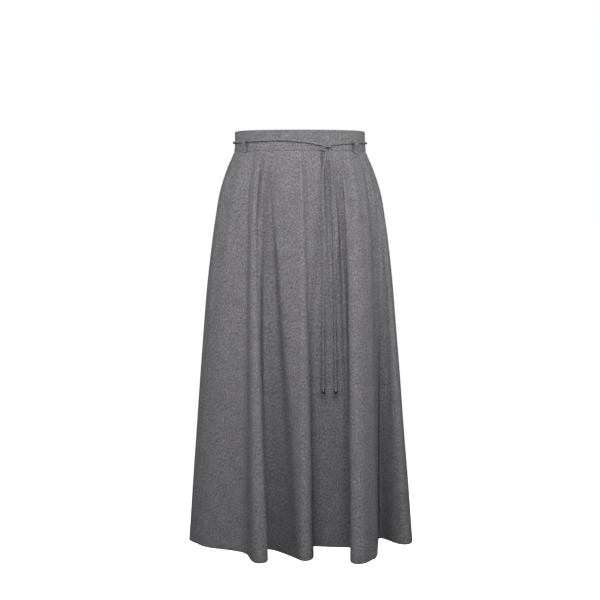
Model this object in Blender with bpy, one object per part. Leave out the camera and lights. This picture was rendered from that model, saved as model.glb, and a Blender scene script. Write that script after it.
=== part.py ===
"""A flared maxi skirt in wool flannel, in its worn, filled-out form, with a thin tie cord.

Metres, +Z up. The origin is the middle of the waist, half-way down the waistband.
-Y is the front, and +X is on the right of someone who looks at the front.
A "drop" is a distance down from the top edge of the waistband.
A "girth angle" is measured round the waist: 0 at the front, 90 at +X, 180 at the back.
"""

import math
from collections import namedtuple

import bpy
import numpy as np

# Driving sizes.
BAND_HEIGHT = 0.042
SKIRT_LENGTH = 0.870
CLOTH = 0.0016
BAND_WALL = 0.0030
SEAM_GAP = 0.0003
CLEARANCE = 0.0007
TOP_Z = BAND_HEIGHT / 2
SKIRT_TOP = BAND_HEIGHT + SEAM_GAP

# The girth angles of the two side seams. The skirt is turned a little on its wearer.
LEFT_SEAM = -70.0
RIGHT_SEAM = 110.0

# The figure that fills the skirt: half sizes of the girth at each drop.
Girth = namedtuple("Girth", "drop half_width front back")
FIGURE = (
    Girth(0.000, 0.1358, 0.1018, 0.1018),
    Girth(0.042, 0.1380, 0.1033, 0.1040),
    Girth(0.075, 0.1515, 0.1130, 0.1170),
    Girth(0.120, 0.1665, 0.1240, 0.1320),
    Girth(0.185, 0.1788, 0.1340, 0.1440),
    Girth(0.285, 0.1920, 0.1460, 0.1570),
    Girth(0.440, 0.2058, 0.1620, 0.1730),
    Girth(0.645, 0.2224, 0.1770, 0.1880),
    Girth(0.870, 0.2398, 0.1900, 0.2020),
)

# The turns of the hem, from the left side seam round the front. A row is the nose of a ridge,
# the bottom of a hollow or the end of a flat stretch: where it starts on the waist, where the
# hem turns in plan (mm), the way the hem runs there (degrees, 0 along +X), how far its round
# reaches before and after it (mm), and how late it grows (1 is evenly from the waist).
Turn = namedtuple("Turn", "name girth x y heading before after late")
TURNS = (
    Turn("left_seam", -70, -219, -17, -61, 6, 6, 1.1),
    Turn("left_panel", -58, -183, -57, -27, 9, 7, 1.1),
    Turn("left_hollow", -46, -120, -94, -44, 10, 8, 0.9),
    Turn("ridge_1", -36, -83, -187, 5, 9, 22, 1.0),
    Turn("hollow_1", -24, -68, -68, -7, 14, 11, 1.0),
    Turn("ridge_2", 0.5, 7, -169, 5, 4, 20, 1.0),
    Turn("hollow_2", 8, 34, -40, -13, 12, 6, 1.25),
    Turn("flat_2", 29, 98, -51, 3, 7, 14, 1.25),
    Turn("ridge_3", 38, 116, -195, 3, 17, 9, 1.0),
    Turn("shoulder_3", 53, 149, -156, 47, 5, 13, 1.0),
    Turn("hollow_3", 67, 173, 35, -16, 5, 4, 1.0),
    Turn("ridge_4", 80, 226, -25, 24, 11, 6, 1.1),
    Turn("right_side", 91, 240, 17, 92, 5, 8, 1.1),
    Turn("hollow_5", 105, 160, 66, 152, 16, 9, 1.1),
    Turn("ridge_5", 122, 154, 176, 168, 15, 10, 1.05),
    Turn("hollow_6", 138, 79, 74, 190, 12, 10, 1.2),
    Turn("ridge_6", 157, 52, 206, 182, 16, 12, 1.05),
    Turn("hollow_7", 177, -14, 92, 178, 12, 9, 1.2),
    Turn("ridge_7", 198, -58, 203, 186, 14, 14, 1.05),
    Turn("hollow_8", 217, -97, 70, 174, 13, 9, 1.2),
    Turn("ridge_8", 236, -160, 158, 208, 13, 12, 1.05),
    Turn("hollow_9", 252, -170, 58, 206, 12, 8, 1.15),
    Turn("left_side", 269, -239, 26, 272, 12, 6, 1.1),
)
ROUND_SHARE = 0.148  # a cubic's widest swing, as a share of its end tangent

# Small folds near the waist that fade out lower down: the girth angle of each at its top and
# bottom, the drops between which it shows, its half-width in degrees and its height (mm).
Crease = namedtuple("Crease", "name top low start end width height")
CREASES = (
    Crease("left_hollow", -43, -41, 0.046, 0.40, 3.0, -3.4),
    Crease("ridge_1", -34, -34, 0.050, 0.36, 2.6, 2.4),
    Crease("hollow_1", -23.5, -22, 0.050, 0.42, 3.0, -3.6),
    Crease("ridge_2", 1.5, 2, 0.055, 0.50, 2.6, 2.6),
    Crease("hollow_2", 7.0, 7.5, 0.055, 0.50, 2.4, -3.6),
    Crease("under_knot", 20, 19, 0.036, 0.28, 3.2, -3.8),
    Crease("by_knot", 26.5, 26, 0.046, 0.34, 2.6, 1.8),
    Crease("ridge_3", 34, 34, 0.050, 0.42, 2.6, 2.8),
    Crease("right_front", 40.5, 41, 0.048, 0.30, 2.4, -2.8),
    Crease("shoulder_3", 50, 50, 0.046, 0.34, 4.5, 2.2),
    Crease("hollow_3", 61.5, 62, 0.055, 0.44, 3.0, -3.4),
    Crease("right_hip", 68, 69, 0.090, 0.44, 2.6, 2.2),
    Crease("back_right", 146, 148, 0.050, 0.36, 3.0, -2.8),
    Crease("back_middle", 168, 166, 0.060, 0.32, 3.0, 2.2),
    Crease("back_left", 208, 206, 0.050, 0.38, 3.2, -3.0),
    Crease("left_seam", -70, -70, 0.060, 0.90, 1.6, -2.0),
)

RIM_POINTS = 1440
RIM_SOFTNESS = 0.004
GIRTH_SOFTNESS = 0.020
SKIRT_DROPS = (SKIRT_TOP, 0.055, 0.072, 0.095, 0.125, 0.165, 0.215, 0.280, 0.360, 0.450, 0.550,
               0.655, 0.765, SKIRT_LENGTH)


def clear_scene():
    for obj in list(bpy.data.objects):
        bpy.data.objects.remove(obj)


def material(name, color, roughness, metallic=0.0):
    made = bpy.data.materials.new(name)
    made.use_nodes = True
    shader = made.node_tree.nodes["Principled BSDF"]
    shader.inputs["Base Color"].default_value = (*color, 1.0)
    shader.inputs["Roughness"].default_value = roughness
    shader.inputs["Metallic"].default_value = metallic
    return made


def add_object(name, mesh, finish):
    mesh.shade_smooth()
    mesh.set_sharp_from_angle(angle=math.radians(40))
    mesh.materials.append(finish)
    obj = bpy.data.objects.new(name, mesh)
    bpy.context.scene.collection.objects.link(obj)
    return obj


# The figure.


def smooth_between(at, places, values):
    """A smooth curve through the values, read at each place in at."""
    places, values = np.asarray(places, float), np.asarray(values, float)
    slopes = np.gradient(values, places)
    at = np.clip(at, places[0], places[-1])
    i = np.clip(np.searchsorted(places, at) - 1, 0, len(places) - 2)
    step = places[i + 1] - places[i]
    t = (at - places[i]) / step
    return (
        (1 + 2 * t) * (1 - t) ** 2 * values[i]
        + t * (1 - t) ** 2 * step * slopes[i]
        + t * t * (3 - 2 * t) * values[i + 1]
        + t * t * (t - 1) * step * slopes[i + 1]
    )


def girth_at(drop):
    """The half-width and the front and back half-depths of the figure at a drop."""
    drops = [row.drop for row in FIGURE]
    return [
        smooth_between(drop, drops, [getattr(row, side) for row in FIGURE])
        for side in ("half_width", "front", "back")
    ]


def figure_point(girth, drop):
    """The plan point (x, y) on the figure at a girth angle and a drop."""
    half_width, front, back = girth_at(drop)
    turn = np.radians(girth)
    depth = np.where(np.cos(turn) > 0, front, back)
    return np.stack([half_width * np.sin(turn), -depth * np.cos(turn)], axis=-1)


# The hem and the folds.


def soften_ring(values, spacing, width):
    """The values round a closed ring, blurred over a width along it."""
    reach = int(3 * width / spacing) + 1
    offsets = np.arange(-reach, reach + 1)
    weights = np.exp(-0.5 * (offsets * spacing / width) ** 2)
    weights /= weights.sum()
    ahead = np.concatenate([values[-reach:], values, values[:reach]])
    if values.ndim == 1:
        return np.convolve(ahead, weights, mode="valid")
    return np.stack([np.convolve(column, weights, mode="valid") for column in ahead.T], axis=1)


def hem_ring():
    """The hem in plan, with each point's girth angle and lateness, evenly spaced along it."""
    steps = np.linspace(0, 1, 48, endpoint=False)
    points, girths, lates = [], [], []
    for this, after in zip(TURNS, TURNS[1:] + TURNS[:1]):
        ends = np.array([[this.x, this.y], [after.x, after.y]]) / 1000
        aims = [
            np.array([math.cos(math.radians(turn.heading)), math.sin(math.radians(turn.heading))])
            * reach / 1000 / ROUND_SHARE
            for turn, reach in ((this, this.after), (after, after.before))
        ]
        t = steps[:, None]
        points.append(
            (1 + 2 * t) * (1 - t) ** 2 * ends[0]
            + t * (1 - t) ** 2 * aims[0]
            + t * t * (3 - 2 * t) * ends[1]
            + t * t * (t - 1) * aims[1]
        )
        far = after.girth if after.girth > this.girth else after.girth + 360
        girths.append(this.girth + steps * (far - this.girth))
        lates.append(this.late + steps * (after.late - this.late))
    points = np.concatenate(points)
    closed = np.concatenate([points, points[:1]])
    along = np.concatenate([[0], np.cumsum(np.linalg.norm(np.diff(closed, axis=0), axis=1))])
    at = np.linspace(0, along[-1], RIM_POINTS, endpoint=False)
    spacing = along[-1] / RIM_POINTS
    ring = np.stack([np.interp(at, along, closed[:, k]) for k in (0, 1)], axis=1)
    girth = np.interp(at, along, np.append(np.concatenate(girths), TURNS[0].girth + 360))
    drift = girth - np.linspace(girth[0], girth[0] + 360, RIM_POINTS, endpoint=False)
    late = np.interp(at, along, np.append(np.concatenate(lates), TURNS[0].late))
    return {
        "points": soften_ring(ring, spacing, RIM_SOFTNESS),
        "girth": girth - drift + soften_ring(drift, spacing, GIRTH_SOFTNESS),
        "late": soften_ring(late, spacing, GIRTH_SOFTNESS),
        "length": along[-1],
    }


def crease_height(girth, drop):
    """How far the small folds stand out of the cloth at a girth angle and a drop, in metres."""
    total = np.zeros_like(girth)
    for row in CREASES:
        if not row.start < drop < row.end:
            continue
        t = (drop - row.start) / (row.end - row.start)
        middle = row.top + t * (row.low - row.top)
        away = (girth - middle + 180) % 360 - 180
        strength = math.sin(math.pi * t ** 0.6) ** 1.5
        total += row.height / 1000 * strength * np.exp(-((away / row.width) ** 2))
    return total


def plan_normals(ring):
    """Outward unit normals in plan of a closed ring that runs front, +X, back, -X."""
    along = np.roll(ring, -1, axis=0) - np.roll(ring, 1, axis=0)
    out = np.stack([along[:, 1], -along[:, 0]], axis=1)
    return out / np.linalg.norm(out, axis=1, keepdims=True)


def cloth_ring(hem, drop):
    """The outside of the cloth in plan all round the skirt at a drop."""
    share = max(0.0, (drop - SKIRT_TOP) / (SKIRT_LENGTH - SKIRT_TOP))
    pull = hem["points"] - figure_point(hem["girth"], SKIRT_LENGTH)
    ring = figure_point(hem["girth"], drop) + share ** hem["late"][:, None] * pull
    return ring + plan_normals(ring) * crease_height(hem["girth"], drop)[:, None]


# Walls and other solids.


def with_z(ring, drop):
    return np.column_stack([ring, np.full(len(ring), TOP_Z - drop)])


def inside_of(rows, thickness):
    """The grid of points (down, along, xyz) moved a thickness inwards, or outwards if negative."""
    out = np.cross(np.gradient(rows, axis=0), np.gradient(rows, axis=1))
    inner = rows - out / np.linalg.norm(out, axis=2, keepdims=True) * thickness
    inner[[0, -1], :, 2] = rows[[0, -1], :, 2]
    return inner


def drawn_in(rows, gap):
    """The grid with its first and last columns moved in along it by a gap, for the seams."""
    rows = rows.copy()
    for end, inside in ((0, 1), (-1, -2)):
        step = rows[:, inside] - rows[:, end]
        rows[:, end] += step / np.linalg.norm(step, axis=1, keepdims=True) * gap
    return rows


def wall_mesh(name, outer, inner):
    """A closed wall between two grids of points (down, along, xyz)."""
    down, along = outer.shape[:2]
    last, end = down - 1, along - 1

    def at(row, column, inside):
        return row * along + column + down * along * inside

    faces = []
    for r in range(last):
        for c in range(end):
            faces.append((at(r, c, 0), at(r + 1, c, 0), at(r + 1, c + 1, 0), at(r, c + 1, 0)))
            faces.append((at(r, c, 1), at(r, c + 1, 1), at(r + 1, c + 1, 1), at(r + 1, c, 1)))
        faces.append((at(r, 0, 0), at(r, 0, 1), at(r + 1, 0, 1), at(r + 1, 0, 0)))
        faces.append((at(r, end, 0), at(r + 1, end, 0), at(r + 1, end, 1), at(r, end, 1)))
    for c in range(end):
        faces.append((at(0, c, 0), at(0, c + 1, 0), at(0, c + 1, 1), at(0, c, 1)))
        faces.append((at(last, c, 0), at(last, c, 1), at(last, c + 1, 1), at(last, c + 1, 0)))
    points = np.concatenate([outer.reshape(-1, 3), inner.reshape(-1, 3)])
    mesh = bpy.data.meshes.new(name)
    mesh.from_pydata(points.tolist(), [], faces)
    return mesh


def loft_mesh(name, sections):
    """A closed solid through sections with equal numbers of points, capped at both ends."""
    count = len(sections[0])
    faces = [tuple(reversed(range(count)))]
    for k in range(len(sections) - 1):
        for c in range(count):
            low, high = k * count + c, k * count + (c + 1) % count
            faces.append((low, high, high + count, low + count))
    faces.append(tuple(range((len(sections) - 1) * count, len(sections) * count)))
    mesh = bpy.data.meshes.new(name)
    mesh.from_pydata(np.concatenate(sections).tolist(), [], faces)
    return mesh


# Skirt panels and waistband.


def ring_at(ring, places):
    """A ring's points at fractional places along it."""
    low = np.floor(places).astype(int)
    share = (places - low)[:, None]
    return ring[low % len(ring)] * (1 - share) + ring[(low + 1) % len(ring)] * share


def ring_place(hem, girth):
    """The place along the hem ring where a girth angle falls."""
    start = hem["girth"][0]
    girths = np.append(hem["girth"], start + 360)
    return np.interp((girth - start) % 360 + start, girths, np.arange(RIM_POINTS + 1))


def panel_places(hem, start, end, count):
    """Places along the hem ring from one girth angle to another, closest where it turns most."""
    first, last = ring_place(hem, start), ring_place(hem, end)
    if last <= first:
        last += RIM_POINTS
    at = np.linspace(first, last, 2000)
    step = np.diff(ring_at(hem["points"], at), axis=0)
    heading = np.unwrap(np.arctan2(step[:, 1], step[:, 0]))
    weight = np.linalg.norm(step, axis=1)
    weight[1:] += np.abs(np.diff(heading)) * 0.016
    total = np.concatenate([[0], np.cumsum(weight)])
    return np.interp(np.linspace(0, total[-1], count), total, at)


def skirt_panel(name, hem, start, end, count, finish):
    """A panel from one seam to the next. Its normals at a seam take in the cloth beyond it."""
    places = panel_places(hem, start, end, count)
    places = np.concatenate([[places[0] - 2], places, [places[-1] + 2]])
    rows = np.stack([with_z(ring_at(cloth_ring(hem, drop), places), drop) for drop in SKIRT_DROPS])
    outer, inner = rows[:, 1:-1], inside_of(rows, CLOTH)[:, 1:-1]
    mesh = wall_mesh(name, drawn_in(outer, SEAM_GAP / 2), drawn_in(inner, SEAM_GAP / 2))
    return add_object(name, mesh, finish)


def figure_normals(girths, drop):
    """Outward unit normals in plan of the figure's outline."""
    half_width, front, back = girth_at(drop)
    turn = np.radians(girths)
    depth = np.where(np.cos(turn) > 0, front, back)
    out = np.stack([np.sin(turn) / half_width, -np.cos(turn) / depth], axis=-1)
    return out / np.linalg.norm(out, axis=-1, keepdims=True)


def waistband(name, start, end, count, finish):
    """A length of waistband from one seam to the next, softly rolled at its top edge."""
    girths = np.linspace(start, end, count)
    girths = np.concatenate([[start - 0.4], girths, [end + 0.4]])
    rows = []
    for drop, inset in ((0.0, 0.0009), (0.0020, 0.0), (0.0210, 0.0), (BAND_HEIGHT, 0.0)):
        ring = figure_point(girths, drop) - figure_normals(girths, drop) * inset
        rows.append(with_z(ring, drop))
    rows = np.stack(rows)
    outer, inner = rows[:, 1:-1], inside_of(rows, BAND_WALL)[:, 1:-1]
    mesh = wall_mesh(name, drawn_in(outer, SEAM_GAP / 2), drawn_in(inner, SEAM_GAP / 2))
    return add_object(name, mesh, finish)


# Belt loops.

LOOP_WIDTH = 0.0120
LOOP_CLOTH = 0.0014
Loop = namedtuple("Loop", "name girth top")
LOOPS = (
    Loop("belt_loop_front_left", -54.5, 0.0182),
    Loop("belt_loop_front_right", 54.5, 0.0204),
    Loop("belt_loop_back_right", 143, 0.0190),
    Loop("belt_loop_back_left", 225, 0.0190),
)
# A loop from the side: distances below its top, and how far its underside stands off (m).
LOOP_SIDE = ((0.0, 0.0005), (0.0012, 0.0014), (0.0024, 0.0040), (0.0042, 0.0060),
             (0.0085, 0.0062), (0.0125, 0.0048), (0.0180, 0.0022), (0.0230, 0.0010),
             (0.0275, 0.0009))


def on_garment(hem, girth, drop):
    """A point on the outside of the band or the skirt, and the outward direction there."""
    if drop <= BAND_HEIGHT:
        point = figure_point(np.array([girth]), drop)[0]
        out = figure_normals(np.array([girth]), drop)[0]
    else:
        ring = cloth_ring(hem, drop)
        place = np.array([ring_place(hem, girth)])
        point = ring_at(ring, place)[0]
        out = figure_normals(np.array([girth]), drop)[0]
    return np.append(point, TOP_Z - drop), np.append(out, 0.0)


def belt_loop(row, hem, finish):
    """A narrow folded strip, sewn down at both ends and bowed out over the cord."""
    grid = []
    for below, lift in LOOP_SIDE:
        point, out = on_garment(hem, row.girth, row.top + below)
        side = np.array([-out[1], out[0], 0.0])
        aside = np.linspace(-0.5, 0.5, 4)[:, None] * LOOP_WIDTH
        bow = aside ** 2 / (2 * 0.10)
        grid.append(point + side * aside + out * (lift - bow))
    underside = np.array(grid)
    mesh = wall_mesh(row.name, inside_of(underside, -LOOP_CLOTH), underside)
    return add_object(row.name, mesh, finish)


# The tie cord: round the waist through the loops, a knot right of the middle, and two tails.

CORD = 0.0045
CORD_STEP = 0.0110
KNOT_GIRTH = 22.9
KNOT_DROP = 0.0358
KNOT_HALF = (0.0095, 0.0041, 0.0054)
TIP_LENGTH = 0.0095
TAIL_END = 0.5260

# The cord's middle round the waist: girth angle and drop, from the knot's left to its right.
TIE_ROUTE = ((18.6, 0.0308), (13, 0.0282), (7, 0.0260), (0, 0.0240), (-8, 0.0220), (-16, 0.0210),
             (-27, 0.0211), (-38, 0.0219), (-48, 0.0226), (-58, 0.0231), (-75, 0.0232),
             (-90, 0.0236), (-112, 0.0240), (-135, 0.0238), (-160, 0.0243), (-190, 0.0243),
             (-217, 0.0238), (-235, 0.0244), (-250, 0.0250), (-275, 0.0246), (-301.5, 0.0250),
             (-312, 0.0264), (-321, 0.0279), (-332.4, 0.0302))
# The tails' middles: drop and distance to the right of the garment's middle.
TAIL_LEFT = ((0.0417, 0.0537), (0.0500, 0.0527), (0.0612, 0.0503), (0.0814, 0.0470),
             (0.130, 0.0463), (0.263, 0.0464), (0.400, 0.0468), (TAIL_END, 0.0474))
TAIL_RIGHT = ((0.0417, 0.0602), (0.0500, 0.0605), (0.0612, 0.0613), (0.0814, 0.0640),
              (0.130, 0.0660), (0.263, 0.0688), (0.400, 0.0712), (TAIL_END, 0.0733))


def evenly_along(route, spacing):
    """Points at an even spacing along a smooth curve through a route's points."""
    route = np.asarray(route, float)
    knots = np.concatenate([[0], np.cumsum(np.linalg.norm(np.diff(route, axis=0), axis=1))])
    dense = np.linspace(0, knots[-1], 2000)
    curve = np.stack([smooth_between(dense, knots, route[:, k]) for k in range(3)], axis=1)
    along = np.concatenate([[0], np.cumsum(np.linalg.norm(np.diff(curve, axis=0), axis=1))])
    at = np.linspace(0, along[-1], int(round(along[-1] / spacing)) + 1)
    return np.stack([np.interp(at, along, curve[:, k]) for k in range(3)], axis=1)


def cord(name, route, finish):
    points = evenly_along(route, CORD_STEP)
    curve = bpy.data.curves.new(name, "CURVE")
    curve.dimensions = "3D"
    curve.bevel_depth = CORD / 2
    curve.bevel_resolution = 2
    curve.use_fill_caps = True
    curve.render_resolution_u = 0
    spline = curve.splines.new("POLY")
    spline.points.add(len(points) - 1)
    for spot, point in zip(spline.points, points):
        spot.co = (*point, 1.0)
    curve.materials.append(finish)
    obj = bpy.data.objects.new(name, curve)
    bpy.context.scene.collection.objects.link(obj)
    return obj


def tie_route():
    """The cord's middle round the waist, one radius and a clearance off the band."""
    girths = np.linspace(TIE_ROUTE[0][0], TIE_ROUTE[-1][0], 361)
    drops = smooth_between(-girths, [-row[0] for row in TIE_ROUTE], [row[1] for row in TIE_ROUTE])
    route = []
    for girth, drop in zip(girths, drops):
        point = figure_point(np.array([girth]), drop)[0]
        out = figure_normals(np.array([girth]), drop)[0]
        route.append(np.append(point + out * (CORD / 2 + CLEARANCE), TOP_Z - drop))
    return route


def knot_middle():
    point = figure_point(np.array([KNOT_GIRTH]), KNOT_DROP)[0]
    out = figure_normals(np.array([KNOT_GIRTH]), KNOT_DROP)[0]
    return np.append(point + out * (KNOT_HALF[1] + 2 * CLEARANCE), TOP_Z - KNOT_DROP)


def knot(name, finish):
    """The knot's outer shape: a rounded lump, wider than it is high."""
    middle = knot_middle()
    turn = np.radians(np.arange(0, 360, 30))
    tilt = math.radians(KNOT_GIRTH * 0.8)
    sections = []
    for k in range(9):
        height = math.cos(math.pi * k / 8)
        level = math.copysign(abs(height) ** 0.8, height)
        reach = max(0.12, math.sin(math.pi * k / 8) ** 0.7)
        across = np.sign(np.cos(turn)) * np.abs(np.cos(turn)) ** 0.8 * KNOT_HALF[0] * reach
        deep = np.sign(np.sin(turn)) * np.abs(np.sin(turn)) ** 0.8 * KNOT_HALF[1] * reach
        x = across * math.cos(tilt) - deep * math.sin(tilt)
        y = across * math.sin(tilt) + deep * math.cos(tilt)
        z = np.full(len(turn), -level * KNOT_HALF[2])
        sections.append(middle + np.column_stack([x, y, z]))
    return add_object(name, loft_mesh(name, sections), finish)


def cloth_front(hem, x, drop):
    """How far forward (the least y) the front of the garment is at an x and a drop."""
    if drop <= BAND_HEIGHT:
        ring = figure_point(np.linspace(-90, 90, 721), drop)
    else:
        ring = cloth_ring(hem, drop)
    near = ring[(np.abs(ring[:, 0] - x) < CORD / 2 + CLEARANCE) & (ring[:, 1] < 0.02)]
    return near[:, 1].min()


def tail_route(hem, table):
    """A tail that lies on the cloth and hangs straight down where the cloth draws back."""
    drops = np.linspace(table[0][0], TAIL_END, 60)
    across = smooth_between(drops, [row[0] for row in table], [row[1] for row in table])
    ys = [cloth_front(hem, x, drop) - CORD / 2 - CLEARANCE for x, drop in zip(across, drops)]
    ys = np.minimum.accumulate(ys)
    padded = np.concatenate([np.full(4, ys[0]), ys, np.full(4, ys[-1])])
    ys = np.minimum(ys, np.convolve(padded, np.ones(9) / 9, mode="valid"))
    return np.column_stack([across, ys, TOP_Z - drops])


def tip(name, hang, finish):
    """A turned metal end, a little wider at its mouth."""
    end = hang[-1]
    turn = np.radians(np.arange(0, 360, 360 / 16))
    round_ = np.column_stack([np.cos(turn), -np.sin(turn), np.zeros(16)])
    sections = []
    for share, radius in ((0.0, 0.0019), (0.06, 0.0026), (0.20, 0.0028), (0.80, 0.0033),
                          (0.93, 0.0034), (1.0, 0.0029)):
        down = np.array([0.0, 0.0, SEAM_GAP + share * TIP_LENGTH])
        sections.append(end - down + round_ * radius)
    return add_object(name, loft_mesh(name, sections), finish)


# The concealed zip's slider and pull tab, at the top of the right side seam.

ZIP_DROP = 0.0062
SLIDER_TOP = 0.0030
SLIDER_LENGTH = 0.0085
SLIDER_BACK = 0.0005
SLIDER_PLATE = 0.0015
SLIDER_HALF = 0.0028
EAR_INSIDE = 0.0013
EAR_OUTSIDE = 0.0021
EAR_HEIGHT = 0.0021
BARREL = 0.0009
HINGE_OUT = SLIDER_BACK + SLIDER_PLATE + SEAM_GAP + BARREL
# The pull tab from its hinge down: distance below, half width and half thickness.
PULL = ((-0.0009, 0.0010, 0.0003), (-0.0006, 0.0010, 0.0007), (0.0, 0.0010, 0.0009),
        (0.0006, 0.0010, 0.0007), (0.0015, 0.0010, 0.0005), (0.0032, 0.0010, 0.0004),
        (0.0046, 0.0018, 0.0004), (0.0098, 0.0022, 0.0004), (0.0122, 0.0016, 0.0004),
        (0.0130, 0.0008, 0.0003))


def zip_frame():
    """A point of the seam at the hinge's height, and the side and outward directions."""
    point = figure_point(np.array([RIGHT_SEAM]), ZIP_DROP)[0]
    out = figure_normals(np.array([RIGHT_SEAM]), ZIP_DROP)[0]
    side = np.array([-out[1], out[0], 0.0])
    return np.append(point, TOP_Z - ZIP_DROP), side, np.append(out, 0.0)


def zip_slider(name, finish):
    """A plate with an ear on each side of the pull tab's hinge."""
    origin, side, out = zip_frame()
    sections = []
    for below, ear in ((-SLIDER_TOP, 0.0001), (-0.0014, EAR_HEIGHT), (0.0014, EAR_HEIGHT),
                       (0.0026, 0.0001), (SLIDER_LENGTH - SLIDER_TOP, 0.0001)):
        face = SLIDER_BACK + SLIDER_PLATE
        outline = ((SLIDER_HALF, SLIDER_BACK), (SLIDER_HALF, face), (EAR_OUTSIDE, face),
                   (EAR_OUTSIDE, face + ear), (EAR_INSIDE, face + ear), (EAR_INSIDE, face))
        outline += tuple((-across, away) for across, away in reversed(outline))
        sections.append(np.array([origin + side * across + out * away - np.array([0, 0, below])
                                  for across, away in outline]))
    return add_object(name, loft_mesh(name, sections), finish)


def zip_pull(name, finish):
    """A small flat tab that tapers towards its hinge."""
    origin, side, out = zip_frame()
    sections = []
    for below, half, thick in PULL:
        outline = ((half, -thick * 0.5), (half, thick * 0.5), (half * 0.8, thick),
                   (-half * 0.8, thick), (-half, thick * 0.5), (-half, -thick * 0.5),
                   (-half * 0.8, -thick), (half * 0.8, -thick))
        sections.append(np.array([origin + side * across + out * (HINGE_OUT + away)
                                  - np.array([0, 0, below]) for across, away in outline]))
    return add_object(name, loft_mesh(name, sections), finish)


def build():
    clear_scene()
    flannel = material("flannel", (0.19, 0.19, 0.20), 0.9)
    metal = material("metal", (0.30, 0.29, 0.28), 0.25, metallic=1.0)
    hem = hem_ring()
    skirt_panel("skirt_front", hem, LEFT_SEAM, RIGHT_SEAM, 96, flannel)
    skirt_panel("skirt_back", hem, RIGHT_SEAM, LEFT_SEAM + 360, 92, flannel)
    waistband("waistband_front", LEFT_SEAM, RIGHT_SEAM, 36, flannel)
    waistband("waistband_back", RIGHT_SEAM, LEFT_SEAM + 360, 36, flannel)
    for row in LOOPS:
        belt_loop(row, hem, flannel)
    cord("tie_round", tie_route(), flannel)
    knot("tie_knot", flannel)
    for side, table in (("left", TAIL_LEFT), ("right", TAIL_RIGHT)):
        hang = tail_route(hem, table)
        cord("tie_tail_" + side, hang, flannel)
        tip("tie_tip_" + side, hang, metal)
    zip_slider("zip_slider", metal)
    zip_pull("zip_pull", metal)


build()
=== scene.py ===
# %% [markdown]
# A long flared skirt in grey wool flannel, shown as it is worn: a straight waistband, belt loops,
# and a thin cord of the same cloth, tied right of the middle, with two long tails and metal ends.
# The cloth hangs in deep rounded folds. Blender could find such folds by simulating cloth on a
# figure, but then nobody chooses where each fold lands. Here every fold is a row in a table, so the
# skirt hangs as it does in the photograph, and the sheets are draped over those rows.

import math
from collections import namedtuple

import bpy
import numpy as np
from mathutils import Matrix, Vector


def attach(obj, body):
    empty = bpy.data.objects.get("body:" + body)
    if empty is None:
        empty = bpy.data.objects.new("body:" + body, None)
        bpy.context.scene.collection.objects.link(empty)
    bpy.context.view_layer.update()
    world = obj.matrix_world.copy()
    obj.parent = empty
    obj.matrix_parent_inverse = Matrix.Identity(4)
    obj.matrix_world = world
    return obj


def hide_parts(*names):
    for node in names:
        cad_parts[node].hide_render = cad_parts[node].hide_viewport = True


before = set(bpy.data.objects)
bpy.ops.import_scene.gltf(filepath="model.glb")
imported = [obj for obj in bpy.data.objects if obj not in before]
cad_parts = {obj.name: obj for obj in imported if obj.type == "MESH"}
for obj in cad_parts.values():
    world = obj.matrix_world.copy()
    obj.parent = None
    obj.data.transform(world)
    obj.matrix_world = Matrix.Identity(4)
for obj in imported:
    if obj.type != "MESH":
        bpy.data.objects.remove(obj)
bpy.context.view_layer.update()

# %% [markdown]
# The camera stands in front, a little below the waist, and looks slightly down. From there the hem
# shows the round of each fold, and the top of the waistband is seen edge on. A long lens from
# 3.2 m away keeps the perspective weak.

# %% The camera
CAMERA_AT = Vector((0.0, -3.2, -0.101))
LOOKS_AT = Vector((0.0, 0.0, -0.332))
LENS = 91.43
SENSOR = 36.0


def facing(place, target):
    """The turn that points a camera or a lamp from a place at a target."""
    return (target - place).to_track_quat("-Z", "Y").to_euler()


bpy.ops.object.camera_add(location=CAMERA_AT, rotation=facing(CAMERA_AT, LOOKS_AT))
camera = bpy.context.object
camera.data.lens = LENS
camera.data.sensor_width = SENSOR
bpy.context.scene.camera = camera
print("camera at", tuple(round(x, 3) for x in camera.location))

# %% [markdown]
# The figure inside the skirt is a stack of ovals. The hem is a closed line that turns at the nose
# of each ridge and at the bottom of each hollow, and smooth curves join those turns. Each point of
# the cloth lies between the oval at its height and the hem, so a fold is narrow near the waist and
# deep at the hem, as flared cloth really hangs. A "girth" angle is 0 at the front and 90 at the
# right, and a "drop" is the distance down from the top edge of the waistband. The small folds near
# the waist have a table of their own: each goes down from one girth angle to another.

# %% The drape's tables
BAND_HEIGHT = 0.042
SKIRT_LENGTH = 0.870
SEAM_GAP = 0.0003
SKIRT_TOP = BAND_HEIGHT + SEAM_GAP
TOP_Z = BAND_HEIGHT / 2
LEFT_SEAM = -70.0
RIGHT_SEAM = 110.0

Girth = namedtuple("Girth", "drop half_width front back")
FIGURE = (
    Girth(0.000, 0.1358, 0.1018, 0.1018),
    Girth(0.042, 0.1380, 0.1033, 0.1040),
    Girth(0.075, 0.1515, 0.1130, 0.1170),
    Girth(0.120, 0.1665, 0.1240, 0.1320),
    Girth(0.185, 0.1788, 0.1340, 0.1440),
    Girth(0.285, 0.1920, 0.1460, 0.1570),
    Girth(0.440, 0.2058, 0.1620, 0.1730),
    Girth(0.645, 0.2224, 0.1770, 0.1880),
    Girth(0.870, 0.2398, 0.1900, 0.2020),
)

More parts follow.
